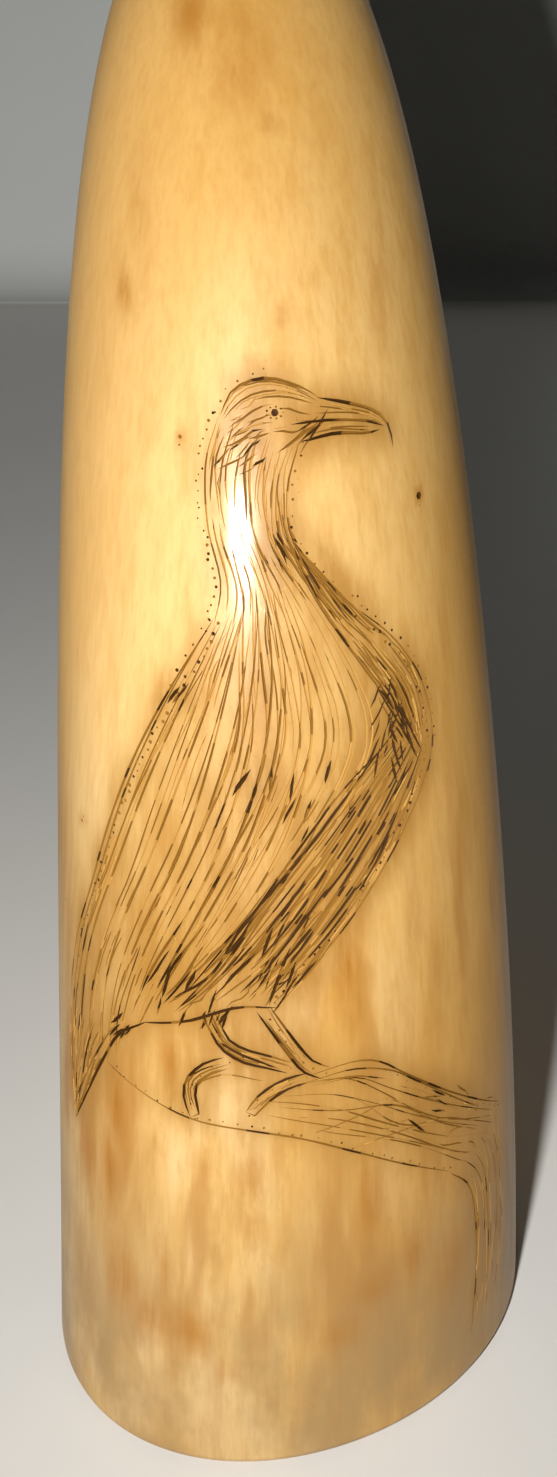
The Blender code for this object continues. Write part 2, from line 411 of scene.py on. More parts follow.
class Engraver:
    """Collects the cuts and dots of the picture, with a hand's small errors."""

    def __init__(self, style):
        self.random = random.Random(style.seed)
        self.line = style.line_width / MM
        self.dot = style.dot_size / MM
        self.spacing = style.dot_spacing / MM
        self.strokes = []
        self.dots = []

    def cut(self, points, width=1.0, ink=0.6, wobble=0.08):
        """One cut along a curve through a few points."""
        path = smooth_path(points, 24)
        phase, turns = self.random.uniform(0, 6.28), self.random.uniform(1.0, 2.5)
        share = np.linspace(0, 1, len(path))
        path[:, 0] += wobble * np.sin(phase + turns * math.pi * share)
        path[:, 1] += wobble * np.sin(1.7 * phase + turns * math.pi * share)
        self.strokes.append(Stroke(path, self.line * width, ink, self.random))

    def hatch(self, first, last, lines, width=1.0, ink=0.5, ragged=0.08, parts=1, wobble=0.12):
        """Cuts that run side by side between two guide curves."""
        first, last = smooth_path(first, GUIDE_POINTS), smooth_path(last, GUIDE_POINTS)
        end_point = GUIDE_POINTS - 1
        for index in range(lines):
            across = (index + 0.5 + self.random.uniform(-0.34, 0.34)) / lines
            middle = first * (1 - across) + last * across
            bounds = np.linspace(0.0, 1.0, parts + 1)
            for low, high in zip(bounds[:-1], bounds[1:]):
                start = max(0.0, low + self.random.uniform(-0.5, 1.0) * ragged)
                end = min(1.0, high + self.random.uniform(-1.0, 0.5) * ragged)
                piece = middle[int(end_point * start):int(end_point * end) + 1]
                if len(piece) > 4:
                    picked = piece[:: max(1, len(piece) // 6)]
                    thick = width * self.random.uniform(0.65, 1.3)
                    self.cut(picked, thick, ink + self.random.uniform(-0.17, 0.17), wobble)

    def gouges(self, middle, spread, count, heading, length=2.2, width=1.7, ink=0.95):
        """Short, broad cuts scattered round a place."""
        for _ in range(count):
            x = middle[0] + spread[0] * max(-1.5, min(1.5, self.random.gauss(0, 1)))
            z = middle[1] + spread[1] * max(-1.5, min(1.5, self.random.gauss(0, 1)))
            angle = math.radians(heading + self.random.uniform(-14, 14))
            half = length * self.random.uniform(0.3, 0.75)
            reach = (half * math.cos(angle), half * math.sin(angle))
            ends = [(x - reach[0], z - reach[1]), (x, z), (x + reach[0], z + reach[1])]
            self.cut(ends, width * self.random.uniform(0.6, 1.3), ink, 0.04)

    def prick(self, x, z, size=1.0):
        """One pricked dot."""
        radius = 0.5 * self.dot * size * self.random.uniform(0.6, 1.35)
        self.dots.append((x, z, radius, DARK if self.random.random() < 0.35 else BROWN))

    def stipple(self, guide, offset, spacing=1.0, size=1.0):
        """A row of dots beside a guide curve."""
        row = beside(guide, offset)
        length = np.linalg.norm(np.diff(row, axis=0), axis=1).sum()
        for x, z in smooth_path(row, int(length / (self.spacing * spacing))):
            self.prick(x + self.random.gauss(0, 0.14), z + self.random.gauss(0, 0.14), size)


# Parts of the picture, each a few cuts, hatches, gouges and rows of dots

def engrave_head(pen):
    pen.cut(CROWN, 1.2, 0.6)
    pen.cut(BEAK_RIDGE, 1.5, 0.75)
    pen.cut(BEAK_EDGE, 1.2, 0.75)
    pen.cut(BEAK_FLOOR, 1.5, 0.75)
    pen.hatch(CROWN, BROW, 5, 0.9, 0.36, 0.2)
    pen.hatch(BROW, CHEEK, 9, 0.9, 0.42, 0.35, 2)
    pen.hatch(BEAK_RIDGE[:4], BEAK_EDGE, 4, 0.8, 0.4, 0.2)
    pen.hatch(BEAK_EDGE, BEAK_FLOOR, 3, 0.8, 0.5, 0.2)
    pen.gouges((4.6, 111.9), (0.9, 0.5), 6, 42, 3.4, 1.1, 0.7)
    pen.gouges((-1.2, 110.6), (1.3, 1.4), 14, 38, 2.2, 0.9, 0.6)
    for side in range(9):
        angle = math.tau * side / 9
        pen.prick(EYE[0] + 0.75 * math.cos(angle), EYE[1] + 0.5 * math.sin(angle), 0.6)
    pen.prick(EYE[0], EYE[1], 2.2)
    pen.stipple(CROWN[:3], 0.5, 0.9, 0.8)


def engrave_neck(pen):
    pen.hatch(NECK_BACK, NECK_FRONT, 12, 1.1, 0.34, 0.12, 2)
    pen.hatch(NECK_BACK, NECK_FRONT, 10, 0.8, 0.26, 0.4, 2)
    pen.hatch([(1.4, 109.0), (1.2, 102.0), (5.0, 97.0)], beside(NECK_FRONT, -0.3), 5, 1.2, 0.34, 0.3)
    pen.cut(NECK_FRONT, 1.2, 0.48)
    pen.cut(NECK_BACK, 1.0, 0.4)
    pen.stipple(NECK_BACK, -0.6, 0.7, 0.9)
    pen.stipple(NECK_FRONT, 0.5, 1.1, 0.8)
    pen.gouges((2.2, 101.4), (0.9, 0.9), 6, 118, 1.8, 1.2, 0.8)


def engrave_wing(pen):
    pen.hatch(WING_OUTER, WING_INNER, 16, 1.15, 0.42, 0.06, 1, 0.16)
    pen.hatch(WING_OUTER, WING_INNER, 9, 1.0, 0.32, 0.35, 3, 0.16)
    pen.hatch(WING_OUTER[4:], WING_INNER[3:], 8, 1.1, 0.62, 0.25, 1, 0.16)
    pen.hatch(WING_OUTER, WING_INNER, 10, 0.9, 0.22, 0.3, 3)
    pen.hatch(MANTLE_LEFT, MANTLE_RIGHT, 14, 1.1, 0.31, 0.25, 1)
    pen.hatch(MANTLE_LEFT, MANTLE_RIGHT, 9, 0.9, 0.22, 0.4, 2)
    pen.hatch(FAN_UPPER, FAN_LOWER, 19, 1.2, 0.66, 0.08, 1, 0.22)
    pen.hatch(FAN_UPPER, FAN_LOWER, 20, 1.1, 0.46, 0.3, 3, 0.25)
    pen.hatch(QUILL_UPPER, QUILL_LOWER, 8, 1.1, 0.66, 0.3, 1, 0.3)
    pen.cut(BACK, 1.3, 0.6)
    pen.cut(beside(BACK, 1.6), 0.9, 0.42)
    pen.cut(RUMP, 1.4, 0.85)
    pen.stipple(BACK, 0.8, 0.8, 1.1)
    pen.stipple(BACK[:2], -0.4, 1.1)
    pen.gouges((-7.8, 88.2), (0.3, 0.5), 3, 56, 1.8, 1.5, 0.8)
    pen.gouges((12.6, 84.0), (1.0, 2.2), 12, 66, 2.6, 1.3)
    pen.gouges((15.4, 82.6), (1.2, 2.0), 12, 112, 2.6, 1.3)
    pen.gouges((3.4, 80.0), (2.2, 3.4), 6, 74, 2.4, 1.4, 0.85)
    pen.gouges((-2.0, 79.4), (0.8, 1.0), 2, 62, 2.4, 1.8)
    pen.gouges((-8.4, 60.5), (2.2, 2.0), 6, 60, 4.0, 1.4)
    pen.gouges((0.5, 61.5), (2.2, 1.8), 10, 58, 4.4, 1.2, 0.85)
    pen.gouges((-7.6, 56.0), (2.8, 0.4), 10, 62, 1.8, 1.1, 0.8)


def engrave_breast(pen):
    pen.hatch(CAPE_INNER, CAPE_OUTER, 10, 1.1, 0.52, 0.08, 2)
    pen.hatch(CAPE_INNER, CAPE_OUTER, 12, 0.9, 0.32, 0.35, 2)
    pen.cut(CAPE_INNER, 1.2, 0.6)
    pen.hatch(FAN_LOWER, BREAST[4:], 6, 1.0, 0.45, 0.15, 2)
    pen.hatch([(10.6, 88.4), (16.8, 78.6)], [(13.6, 90.0), (18.0, 81.4)], 7, 1.0, 0.7, 0.25)
    pen.cut(BREAST, 1.1, 0.62)
    pen.cut(beside(BREAST[1:], -1.5), 0.9, 0.5)
    pen.stipple(BREAST, -0.7, 0.75, 1.0)
    pen.stipple(BREAST[:4], 0.45, 1.1, 0.9)


def engrave_tail(pen):
    pen.hatch(WING_OUTER[-3:], TAIL_INNER[1:], 9, 1.1, 0.62, 0.15)
    pen.hatch(WING_OUTER[-3:], TAIL_INNER[1:], 12, 0.9, 0.3, 0.3, 2)
    pen.cut(WING_OUTER[-3:], 1.1, 0.5)
    pen.cut(TAIL_INNER, 1.6, 0.9)
    pen.cut(beside(TAIL_INNER[1:], -1.1), 1.1, 0.6)
    pen.gouges((-15.8, 52.8), (1.0, 0.5), 6, 50, 2.0, 1.3)


def engrave_legs(pen):
    for leg, gap in ((REAR_LEG, 1.3), (FORE_LEG, 1.4)):
        pen.cut(leg, 1.4, 0.85)
        pen.cut(beside(leg, gap), 1.3, 0.78)
        pen.hatch(beside(leg, 0.2), beside(leg, gap - 0.2), 4, 0.9, 0.5, 0.3)
        pen.stipple(leg, gap / 2, 1.2, 0.8)
    for toe, gap in ((REAR_TOE, 1.2), (FORE_TOE, 1.1)):
        inner = np.vstack([beside(toe, gap)[:-1], toe[-1:]])
        pen.cut(toe, 1.4, 0.82)
        pen.cut(inner, 1.3, 0.75)
        pen.hatch(toe, inner, 4, 0.9, 0.46, 0.3)
        pen.stipple(toe, gap / 2, 1.2, 0.8)
    pen.cut([(-5.6, 54.0), (-3.0, 52.3), (1.0, 50.6)], 1.2, 0.8)


def engrave_bough(pen):
    pen.cut(BOUGH_TOP, 1.1, 0.62)
    pen.cut(BOUGH_FOOT, 1.1, 0.62)
    pen.cut(TRUNK_LEFT, 1.3, 0.6)
    pen.cut([(-8.2, 48.6), (-5.0, 50.0), (-0.6, 49.4)], 0.9, 0.5)
    pen.cut([(4.6, 48.6), (9.0, 48.4), (12.6, 47.0)], 0.9, 0.6)
    pen.cut([(0.8, 46.4), (7.0, 45.0), (13.6, 43.6), (20.2, 38.6), (26.6, 34.4)], 0.9, 0.55)
    pen.cut([(-0.8, 45.6), (6.0, 43.4), (12.8, 40.2), (19.4, 36.2), (25.4, 32.0)], 0.8, 0.5)
    pen.cut([(3.4, 42.6), (8.2, 43.6), (13.4, 45.0)], 0.7, 0.5)
    pen.cut([(8.6, 40.0), (13.0, 40.2), (19.8, 39.4), (26.0, 36.0), (31.0, 32.6)], 0.8, 0.5)
    pen.hatch(BOUGH_TOP, BOUGH_GRAIN, 8, 0.8, 0.46, 0.3, 1, 0.5)
    pen.hatch(BOUGH_TOP[3:], BOUGH_GRAIN[2:], 12, 0.8, 0.3, 0.4, 2, 0.4)
    pen.gouges((20.0, 41.2), (2.4, 0.9), 6, -32, 3.0, 1.1, 0.75)
    pen.hatch(TRUNK_LEFT, TRUNK_RIGHT, 7, 0.9, 0.46, 0.1, 1, 0.3)
    pen.hatch(TRUNK_LEFT, TRUNK_RIGHT, 8, 0.8, 0.26, 0.3, 2, 0.3)
    pen.stipple(BOUGH_FOOT, 0.3, 1.3, 0.9)
    pen.stipple(BOUGH_TOP[2:], -0.4, 1.4, 0.8)


def engrave_picture(style):
    """All the cuts and dots of the picture."""
    pen = Engraver(style)
    for engrave in (
        engrave_head, engrave_neck, engrave_wing, engrave_breast, engrave_tail, engrave_legs, engrave_bough,
    ):
        engrave(pen)
    for x, z, size in SPECKS:
        pen.prick(x, z, size)
    return pen


# Mesh of the tooth

CAVITY_RINGS = 14
BASE_RINGS = 3
EDGE_RINGS = 6

# Sides of the picture's area, in divisions from the front line, and its bottom and top in millimetres
PICTURE_LEFT, PICTURE_RIGHT = -28, 37
PICTURE_LOW, PICTURE_HIGH = 3.0, 122.0

# Millimetres for one radian in the net of the cuts, and the rest of its sizes in millimetres
FLAT_RADIUS = 28.0
DOT_SIDES = 6
HALO_GAP = 0.34
HALO_CELL = 0.3
HALO_CLEARANCE = 0.24

# Deepest cut beside a usual one, and how much of a dot's radius holds ink
DEEPEST_CUT = 1.6
INKED_DOT = 0.85

# How strongly the ink's haze and wash stain the ivory, and the weight of full ink in them
HAZE_STRENGTH, WASH_STRENGTH, INK_WEIGHT = 0.34, 0.27, 1.7

# How far round the cuts and the stains may reach, in radians, and how far up stains and normals, as shares
DRAWN_TURN, STAINED_TURN = 1.6, 2.1
STAINED_TOP, NEAR_TIP = 0.97, 0.9995


def ring_stack(form):
    """Kind and value of each ring: from the cavity's end, down its wall, across the base and up the skin."""
    quarter = math.pi / 2
    steps = range(1, CAVITY_RINGS + 1)
    rings = [("cavity", math.sin(quarter * (1 - step / CAVITY_RINGS))) for step in steps]
    rings += [("base", step / (BASE_RINGS + 1)) for step in range(1, BASE_RINGS + 1)]
    rings += [("edge", quarter * step / EDGE_RINGS) for step in range(EDGE_RINGS)]
    first = form.edge_radius / form.height
    bends = [math.sin(quarter * step / form.rings) for step in range(form.rings)]
    return rings + [("skin", first + (1 - first) * bend) for bend in bends]


def ring_points(form, kind, value, angle):
    """Points, and shares of the height for those on the skin, of one ring."""
    half_length, half_width = form.base_length / 2 - form.wall, form.base_width / 2 - form.wall
    if kind == "cavity":
        size = 1.0 - value ** 1.5
        share = value * form.cavity_depth / form.height
        offset = level_offset(form, half_length * size * np.cos(angle), half_width * size * np.sin(angle))
        return axis_at(form, np.full_like(angle, share)) + offset, -1.0
    if kind == "base":
        offset = level_offset(form, half_length * np.cos(angle), half_width * np.sin(angle))
        mouth = axis_at(form, 0.0 * angle) + offset
        rim = skin(form, 0.0, angle, form.edge_radius)
        return mouth * (1 - value) + rim * value, -1.0
    if kind == "edge":
        inset = form.edge_radius * (1.0 - math.sin(value))
        share = form.edge_radius * (1.0 - math.cos(value)) / form.height
        return skin(form, share, angle, inset), -1.0
    return skin(form, value, angle), value


def loft_tooth(form):
    """The closed tooth as rings joined by extrusion, with each skin vertex's share and turn kept on it."""
    bm = bmesh.new()
    share_layer = bm.verts.layers.float.new("share")
    turn_layer = bm.verts.layers.float.new("turn")
    turn = math.tau * np.arange(form.sides) / form.sides
    turn = np.where(turn > math.pi, turn - math.tau, turn)
    angle = front_angle(form) + turn
    rings = ring_stack(form)
    ring = bmesh.ops.create_circle(bm, segments=form.sides, radius=1.0)["verts"]
    edges = list(bm.edges)
    apex = axis_at(form, np.array(form.cavity_depth / form.height))
    tip = axis_at(form, np.array(1.0))
    for number, (kind, value) in enumerate(rings):
        if number:
            grown = bmesh.ops.extrude_edge_only(bm, edges=edges)["geom"]
            above = [item for item in grown if isinstance(item, bmesh.types.BMVert)]
            edges = [item for item in grown if isinstance(item, bmesh.types.BMEdge)]
            fresh = set(above)
            partner = {}
            for vert in ring:
                for edge in vert.link_edges:
                    other = edge.other_vert(vert)
                    if other in fresh:
                        partner[vert] = other
            ring = [partner[vert] for vert in ring]
        points, share = ring_points(form, kind, value, angle)
        for vert, place, way in zip(ring, points, turn):
            vert.co = place
            vert[share_layer] = share
            vert[turn_layer] = way
        if number in (0, len(rings) - 1):
            cap = bmesh.ops.contextual_create(bm, geom=edges)["faces"]
            pole = bmesh.ops.poke(bm, faces=cap)["verts"][0]
            pole.co = tip if number else apex
            pole[share_layer] = 0.9999 if number else -1.0
            edges = [edge for edge in edges if edge.is_valid]
    return bm


def clip_to_picture(form, bm):
    """Takes out the skin's faces where the picture goes, and gives the flat corners of the hole."""
    share_layer = bm.verts.layers.float["share"]
    turn_layer = bm.verts.layers.float["turn"]
    step = math.tau / form.sides
    left, right = PICTURE_LEFT * step, PICTURE_RIGHT * step
    shares = sorted({round(vert[share_layer], 7) for vert in bm.verts if vert[share_layer] > 0})
    inside = [share for share in shares if PICTURE_LOW <= share * form.height / MM <= PICTURE_HIGH]
    low, high = inside[0], inside[-1]
    slack = 1e-6

    def within(vert):
        turn, share = vert[turn_layer], vert[share_layer]
        return left - slack < turn < right + slack and low - slack < share < high + slack

    doomed = [face for face in bm.faces if all(within(vert) for vert in face.verts)]
    bmesh.ops.delete(bm, geom=doomed, context="FACES")
    turns = [step * index for index in range(PICTURE_LEFT, PICTURE_RIGHT + 1)]
    return turns, inside


def picture_net(form, unrolled, pen, turns, shares):
    """Flat triangles of the picture's area, with an edge along each side and middle of every cut."""
    flat_height = form.height / MM
    points, edges = [], []

    def place(flat_points):
        flat_points = np.asarray(flat_points, float).reshape(-1, 2)
        return [(turn * FLAT_RADIUS, share * flat_height) for turn, share in unrolled.to_skin(flat_points)]

    def add(flat_points):
        start = len(points)
        points.extend(place(flat_points))
        return list(range(start, len(points)))

    halo = []
    for stroke in pen.strokes:
        middle = add(stroke.path)
        lines = [middle]
        left = left_of(stroke.path)
        for way in (left, -left):
            side = stroke.path + way * stroke.halves[:, None]
            lines.append(middle[:1] + add(side[1:-1]) + middle[-1:])
            halo.extend(place((stroke.path + way * (stroke.halves + HALO_GAP)[:, None])[1:-1]))
        for line in lines:
            edges.extend(zip(line[:-1], line[1:]))
    for x, z, radius, _ in pen.dots:
        angles = [math.tau * side / DOT_SIDES for side in range(DOT_SIDES)]
        rim = add([(x + radius * math.cos(angle), z + radius * math.sin(angle)) for angle in angles])
        add([(x, z)])
        edges.extend(zip(rim, rim[1:] + rim[:1]))
    busy = KDTree(len(points))
    for index, point in enumerate(points):
        busy.insert((*point, 0.0), index)
    busy.balance()
    edge_rows, edge_columns = (0, len(shares) - 1), (0, len(turns) - 1)
    low, high = shares[0] * flat_height + 1, shares[-1] * flat_height - 1
    used = set()
    for x, z in halo:
        cell = (round(x / HALO_CELL), round(z / HALO_CELL))
        inside = turns[0] * FLAT_RADIUS + 1 < x < turns[-1] * FLAT_RADIUS - 1 and low < z < high
        if inside and cell not in used and busy.find((x, z, 0.0))[2] > HALO_CLEARANCE:
            used.add(cell)
            points.append((x, z))
    for row, share in enumerate(shares):
        for column, turn in enumerate(turns):
            x, z = turn * FLAT_RADIUS, share * flat_height
            on_border = row in edge_rows or column in edge_columns
            if on_border or busy.find((x, z, 0.0))[2] > 2 * HALO_CLEARANCE:
                points.append((x, z))
    net = delaunay_2d_cdt([Vector(point) for point in points], edges, [], 0, 1e-5, False)
    corners = np.array([tuple(corner) for corner in net[0]])
    return corners, np.array(net[2])


def height_bands(flat, size):
    """Rows of flat places in bands of like height, with each band's lowest and highest."""
    order = np.argsort(flat[:, 1])
    for start in range(0, len(order), size):
        rows = order[start:start + size]
        yield rows, flat[rows[0], 1], flat[rows[-1], 1]


def ink_at(style, pen, flat):
    """Depth of the cuts, with a usual cut as 1, and the tone of their ink, at flat places."""
    usual = style.line_width / MM
    starts = np.vstack([stroke.path[:-1] for stroke in pen.strokes])
    ends = np.vstack([stroke.path[1:] for stroke in pen.strokes])
    first = np.concatenate([stroke.halves[:-1] for stroke in pen.strokes])
    second = np.concatenate([stroke.halves[1:] for stroke in pen.strokes])
    inks = np.concatenate([stroke.tones() for stroke in pen.strokes])
    ways = ends - starts
    lengths = np.maximum((ways ** 2).sum(axis=1), 1e-9)
    bottoms = np.minimum(starts[:, 1], ends[:, 1]) - usual * 2
    tops = np.maximum(starts[:, 1], ends[:, 1]) + usual * 2
    depths, tones = np.zeros(len(flat)), np.full(len(flat), NO_INK)
    for rows, low, high in height_bands(flat, 400):
        near = (bottoms < high) & (tops > low)
        if near.any():
            part = flat[rows, None, :] - starts[None, near, :]
            share = np.clip((part * ways[near]).sum(axis=2) / lengths[near], 0, 1)
            gap = np.linalg.norm(part - share[..., None] * ways[near], axis=2)
            half = np.maximum(first[near] * (1 - share) + second[near] * share, 1e-6)
            depth = np.clip(1 - gap / half, 0, 1) * np.minimum(half * 2 / usual, DEEPEST_CUT)
            depths[rows] = depth.max(axis=1)
            tones[rows] = np.where(gap < half, inks[near], NO_INK).min(axis=1)
    for x, z, radius, tone in pen.dots:
        gap = np.hypot(flat[:, 0] - x, flat[:, 1] - z)
        depths = np.maximum(depths, np.clip(1 - gap / radius, 0, 1))
        tones = np.where(gap < INKED_DOT * radius, np.minimum(tones, tone), tones)
    return depths, np.where(tones == NO_INK, IVORY, tones)


def ink_stains(style, pen, flat):
    """How much ink stains the ivory at flat places, from 0 to 1: close to the cuts, and as a broad wash."""
    usual = style.line_width / MM
    places = np.vstack([stroke.path for stroke in pen.strokes])
    weights = np.concatenate([stroke.ink ** 2 * stroke.halves for stroke in pen.strokes])
    weights *= 2 * INK_WEIGHT / usual
    reaches = (style.haze_reach / MM, style.wash_reach / MM)
    strengths = (HAZE_STRENGTH, WASH_STRENGTH)
    results = [np.zeros(len(flat)) for _ in reaches]
    for rows, low, high in height_bands(flat, 500):
        near = (places[:, 1] > low - 3 * reaches[1]) & (places[:, 1] < high + 3 * reaches[1])
        if not near.any():
            continue
        gap = ((flat[rows, None, :] - places[None, near, :]) ** 2).sum(axis=2)
        for result, reach, strength in zip(results, reaches, strengths):
            total = (np.exp(-gap / (2 * reach ** 2)) * weights[near]).sum(axis=1)
            result[rows] = 1 - np.exp(-strength * total)
    return results


def spot_strength(flat):
    """Strength of the small stains at flat places."""
    result = np.zeros(len(flat))
    for x, z, half_width, half_height, strength in SPOTS:
        gap = ((flat[:, 0] - x) / half_width) ** 2 + ((flat[:, 1] - z) / half_height) ** 2
        result = np.maximum(result, strength * np.exp(-gap))
    return result


def chip_centre(form):
    return skin(form, 0.0, form.chip_turn - form.base_turn)


def chip_in(form, places):
    """Pushes the base's edge in where its chip is."""
    way = np.array([math.cos(form.chip_turn), math.sin(form.chip_turn), 0.0])
    side = np.array([-way[1], way[0], 0.0])
    offset = places - chip_centre(form)
    near = 1 - ((offset @ side) / (form.chip_length / 2)) ** 2 - (offset[:, 2] / form.chip_height) ** 2
    floor = -form.chip_depth * np.sqrt(np.maximum(near, 0))
    depth = np.where((near > 0) & (offset @ way > floor), offset @ way - floor, 0.0)
    return places - depth[:, None] * way


def build_tooth(form, style, finish):
    """The tooth as one closed mesh, with the picture's cuts in its skin."""
    unrolled = Unrolled(form)
    pen = engrave_picture(style)
    bm = loft_tooth(form)
    turns, shares = clip_to_picture(form, bm)
    corners, triangles = picture_net(form, unrolled, pen, turns, shares)
    share_layer = bm.verts.layers.float["share"]
    turn_layer = bm.verts.layers.float["turn"]
    share = corners[:, 1] * MM / form.height
    turn = corners[:, 0] / FLAT_RADIUS
    places = skin(form, share, front_angle(form) + turn)
    middles = unrolled.to_flat(turn[triangles].mean(axis=1), share[triangles].mean(axis=1))
    inked = ink_at(style, pen, middles)[1]
    verts = []
    for place, up, way in zip(places, share, turn):
        vert = bm.verts.new(place)
        vert[share_layer] = up
        vert[turn_layer] = way
        verts.append(vert)
    for triangle, tone in zip(triangles, inked):
        face = bm.faces.new([verts[corner] for corner in triangle])
        face.material_index = int(tone)
    bmesh.ops.remove_doubles(bm, verts=bm.verts, dist=2e-6)
    bmesh.ops.triangulate(bm, faces=[face for face in bm.faces if len(face.verts) > 4])
    bmesh.ops.recalc_face_normals(bm, faces=bm.faces)
    mesh = bpy.data.meshes.new("engraved_tooth")
    bm.to_mesh(mesh)
    bm.free()
    finish_mesh(mesh, form, style, pen, unrolled)
    mesh.materials.append(ivory_material(form, finish))
    for tone in ("dark", "brown", "faint"):
        mesh.materials.append(ink_material(tone + " ink", getattr(style, tone + "_ink")))
    return mesh


def read_array(collection, name, width=1, kind=np.float32):
    """One value of each thing in a mesh's collection, as an array."""
    values = np.empty(len(collection) * width, kind)
    collection.foreach_get(name, values)
    return values.reshape(-1, width) if width > 1 else values


def add_floats(mesh, name, values):
    layer = mesh.attributes.new(name, "FLOAT", "POINT")
    layer.data.foreach_set("value", values.astype(np.float32))


def finish_mesh(mesh, form, style, pen, unrolled):
    """Sinks the cuts, colours the stains and sets exact normals on the skin."""
    share = read_array(mesh.attributes["share"].data, "value").astype(float)
    turn = read_array(mesh.attributes["turn"].data, "value").astype(float)
    on_skin = share > 0
    flat = unrolled.to_flat(np.clip(turn, -STAINED_TURN, STAINED_TURN), np.clip(share, 0, STAINED_TOP))
    drawn = on_skin & (np.abs(turn) < DRAWN_TURN) & (flat[:, 1] < PICTURE_HIGH + 1)
    depth, haze, wash = (np.zeros(len(share)) for _ in range(3))
    depth[drawn] = ink_at(style, pen, flat[drawn])[0] * style.line_depth
    haze[drawn], wash[drawn] = ink_stains(style, pen, flat[drawn])
    spots = np.where(on_skin & (np.abs(turn) < STAINED_TURN), spot_strength(flat), 0.0)
    normals = skin_normals(form, np.clip(share, 0, NEAR_TIP), front_angle(form) + turn)
    places = read_array(mesh.vertices, "co", 3).astype(float) - normals * depth[:, None]
    places = chip_in(form, places)
    mesh.vertices.foreach_set("co", places.astype(np.float32).ravel())
    for name, values in (("haze", haze), ("wash", wash), ("spots", spots)):
        add_floats(mesh, name, values)
    mesh.update()
    mesh.shade_smooth()
    mesh.set_sharp_from_angle(angle=math.radians(40))
    chipped = np.linalg.norm(places - chip_centre(form), axis=1) < form.chip_height * 1.3
    set_normals(mesh, normals, on_skin & ~chipped)


def set_normals(mesh, normals, on_skin):
    """Gives the ivory skin its exact normals and the ink flat ones."""
    loop_vert = read_array(mesh.loops, "vertex_index", 1, np.int32)
    size = read_array(mesh.polygons, "loop_total", 1, np.int32)
    inked = np.repeat(read_array(mesh.polygons, "material_index", 1, np.int32) != IVORY, size)
    face_normals = np.repeat(read_array(mesh.polygons, "normal", 3), size, axis=0)
    own = read_array(mesh.corner_normals, "vector", 3)
    exact = on_skin[loop_vert] & ~inked
    own[exact] = normals[loop_vert][exact]
    own[inked] = face_normals[inked]
    mesh.normals_split_custom_set([tuple(normal) for normal in own])


# Materials

# Patterns in the ivory: noise scale, detail, stretch along the tooth, and roughness
PATTERNS = {
    "broad": (38.0, 2.0, 0.35, 0.5),
    "cloud": (88.0, 2.2, 0.45, 0.5),
    "streaks": (210.0, 2.6, 0.17, 0.55),
    "grain": (520.0, 4.0, 0.055, 0.65),
    "fine": (1900.0, 3.0, 0.035, 0.6),
    "mottle": (640.0, 4.0, 0.22, 0.7),
    "blotch": (75.0, 4.0, 0.6, 0.6),
}

# Zones up the tooth: where each starts and is full, as shares of the height, and its strength there
ZONES = {
    "low": (0.58, 0.25, 0.10, 1.0),
    "top": (0.66, 0.94, 0.0, 0.45),
    "foot": (0.28, 0.05, 0.0, 1.0),
    "above foot": (0.02, 0.15, 0.3, 1.0),
}

# Where the pale patches fade out, in metres across the tooth, and their strength there: they keep to the lit
# left side, so the right side is left darker, partly where the patches lie and partly as painted shade
PALE_SIDE = (0.016, 0.0, 0.15, 1.0)

# Tints, in the order they are laid: pattern, its two ends, the strength at each, colour, and zone
TINTS = (
    ("broad", 0.35, 0.72, 0.0, 1.0, "amber", None),
    ("grain", 0.42, 0.70, 0.0, 0.55, "amber", None),
    ("cloud", 0.52, 0.38, 0.0, 0.75, "cream", "low left"),
    ("broad", 0.30, 0.60, 0.0, 1.0, "amber", "top"),
    # Across the tooth: cream toward the left is painted light on the side facing the key light; amber toward
    # the right is aged colour and painted shade on the side turned away; khaki at the left edge, and low on
    # the right edge, is painted shade where the skin turns from the light
    ("across", 0.000, 0.028, 0.0, 0.7, "amber", None),
    ("across", 0.020, 0.032, 0.0, 0.85, "khaki", "low"),
    ("across", -0.004, -0.030, 0.0, 0.4, "cream", None),
    ("across", -0.020, -0.031, 0.0, 0.4, "khaki", None),
    ("cloud", 0.50, 0.66, 0.0, 0.42, "tan", "band"),
    ("streaks", 0.51, 0.64, 0.0, 0.6, "streak", "band"),
    ("mottle", 0.46, 0.66, 0.0, 0.32, "tan", "low"),
    ("blotch", 0.36, 0.60, 0.35, 0.9, "khaki", "foot"),
    ("grain", 0.34, 0.56, 0.5, 1.0, "spot", "spots"),
    ("grain", 0.30, 0.62, 0.6, 0.92, "wash", "wash"),
    ("grain", 0.0, 1.0, 0.8, 0.8, "stain", "haze"),
    ("fine", 0.38, 0.70, 0.0, 0.17, "streak", None),
)


